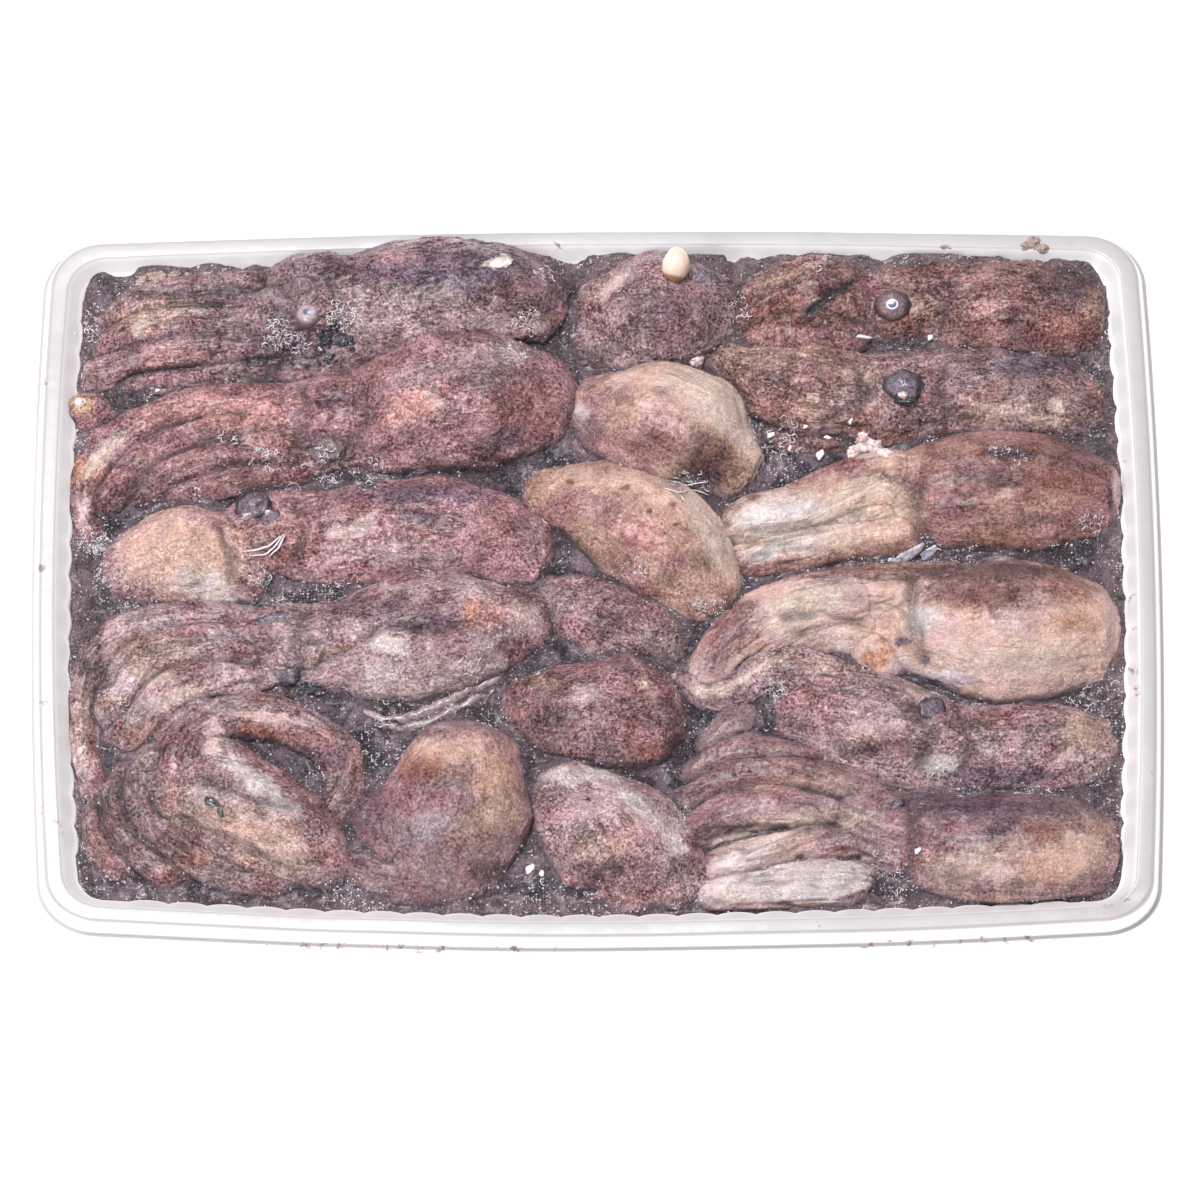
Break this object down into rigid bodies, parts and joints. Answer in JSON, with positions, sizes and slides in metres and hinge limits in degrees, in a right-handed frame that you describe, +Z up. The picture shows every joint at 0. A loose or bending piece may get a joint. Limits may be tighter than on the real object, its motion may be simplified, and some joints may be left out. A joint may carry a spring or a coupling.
{
  "type": "tray of whole raw octopuses",
  "caption": "Full tray of small whole raw octopuses frozen in rows in dark inky ice, in a shallow white plastic tray with a fluted inner wall and a flanged rim.",
  "frame": {"origin": "on the underside of the tray, at the middle of its length and width", "axes": "+X along the tray's length, +Y across it to the back, where the single egg lies, +Z up"},
  "size_m": [0.3008, 0.2164, 0.0455],
  "materials": {
    "white_plastic": "satin",
    "inky_ice": "satin",
    "brown_flesh": "satin",
    "pink_flesh": "satin",
    "grey_flesh": "satin",
    "pale_flesh": "satin",
    "roe": "gloss"
  },
  "bodies": {
    "root": {"tray": "white_plastic", "ink_ice": "inky_ice", "octopus_01": "brown_flesh", "octopus_02": "brown_flesh", "octopus_03": "brown_flesh", "octopus_04": "pink_flesh", "octopus_05": "grey_flesh", "octopus_06": "pale_flesh", "octopus_07": "pink_flesh", "octopus_08": "pale_flesh", "octopus_09": "pale_flesh", "octopus_10": "pink_flesh", "octopus_11": "grey_flesh", "octopus_12": "pale_flesh", "octopus_13": "brown_flesh", "octopus_14": "grey_flesh", "octopus_15": "pink_flesh", "octopus_16": "pale_flesh", "octopus_17": "grey_flesh", "octopus_18": "pale_flesh", "egg": "roe"}
  },
  "joints": []
}
